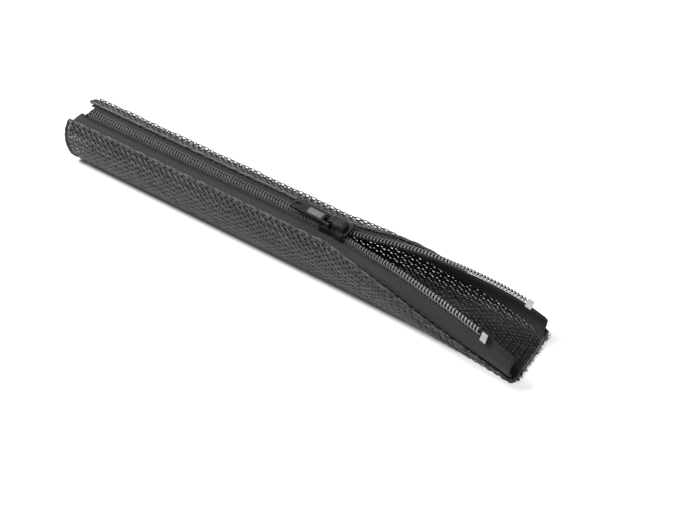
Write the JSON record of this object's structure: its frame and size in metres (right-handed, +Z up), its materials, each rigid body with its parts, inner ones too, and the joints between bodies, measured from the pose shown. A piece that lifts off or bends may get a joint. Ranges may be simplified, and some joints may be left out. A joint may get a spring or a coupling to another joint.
{
  "type": "zippered cable sleeve",
  "caption": "Braided mesh cable sleeve with a coil zipper along its top, drawn open at one end by its locking slider and pull tab",
  "frame": {"origin": "middle of the sleeve's length and width, on the surface it lies on", "axes": "X along the sleeve towards its open end, Z up through the zipper"},
  "size_m": [0.24, 0.0356, 0.0302],
  "materials": {
    "braid": "braided polyester monofilament, satin",
    "tape": "woven polyester twill, dull",
    "coil": "polyester monofilament coil, satin",
    "thread": "spun sewing thread and cord",
    "bright_metal": "bright stamped metal",
    "black_paint": "glossy black enamel over cast zinc",
    "spring_steel": "plain spring steel"
  },
  "bodies": {
    "sleeve": {"braided_sleeve": "braid", "near_tape": "tape", "far_tape": "tape", "near_coil": "coil", "far_coil": "coil", "near_core_cord": "thread", "far_core_cord": "thread", "near_coil_thread": "thread", "far_coil_thread": "thread", "near_seam_thread": "thread", "far_seam_thread": "thread", "near_end_stop": "bright_metal", "far_end_stop": "bright_metal", "closed_end_stop": "bright_metal"},
    "slider": {"slider_body": "black_paint", "slider_cap": "black_paint", "lock_spring": "spring_steel"},
    "tab": {"pull_tab": "black_paint"}
  },
  "joints": [
    {"name": "slider_slide", "type": "slide", "parent": "sleeve", "child": "slider", "axis": [-1, 0, 0], "range_m": [0, 0.128], "deforming": ["near_coil", "far_coil"]},
    {"name": "tab_hinge", "type": "hinge", "parent": "slider", "child": "tab", "pos_m": [0.0224, 0, 0.0285], "axis": [0, 1, 0], "range_deg": [0, 110]}
  ]
}
